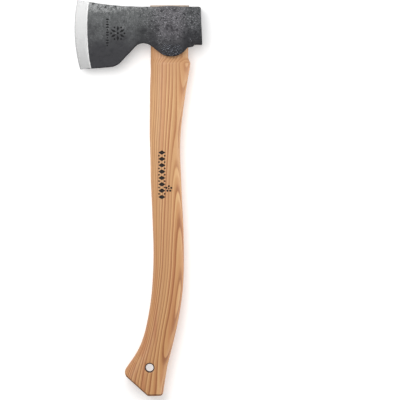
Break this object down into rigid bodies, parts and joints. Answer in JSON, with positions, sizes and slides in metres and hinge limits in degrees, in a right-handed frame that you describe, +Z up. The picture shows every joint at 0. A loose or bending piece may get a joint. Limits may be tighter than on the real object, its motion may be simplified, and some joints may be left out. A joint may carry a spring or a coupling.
{
  "type": "hatchet",
  "caption": "Forged hatchet: curved cutting edge with ground bevels, lugged eye and flat poll, on a curved wooden handle with a swelled, drilled butt.",
  "frame": {"origin": "point under the middle of the eye, on the flat cheek that the hatchet lies on", "axes": "+Z up, square to the cheeks; +Y along the handle, towards the head's top; -X towards the cutting edge, +X towards the poll"},
  "size_m": [0.1611, 0.4996, 0.031],
  "materials": {
    "forged_steel": "dark forged scale, with bright ground bevels",
    "handle_wood": "oiled ring-porous hardwood",
    "wedge_wood": "sawn hardwood end grain",
    "ring_steel": "bare steel"
  },
  "bodies": {
    "root": {"axe_head": "forged_steel", "handle": "handle_wood", "wooden_wedge": "wedge_wood", "wedge_ring": "ring_steel"}
  },
  "joints": []
}
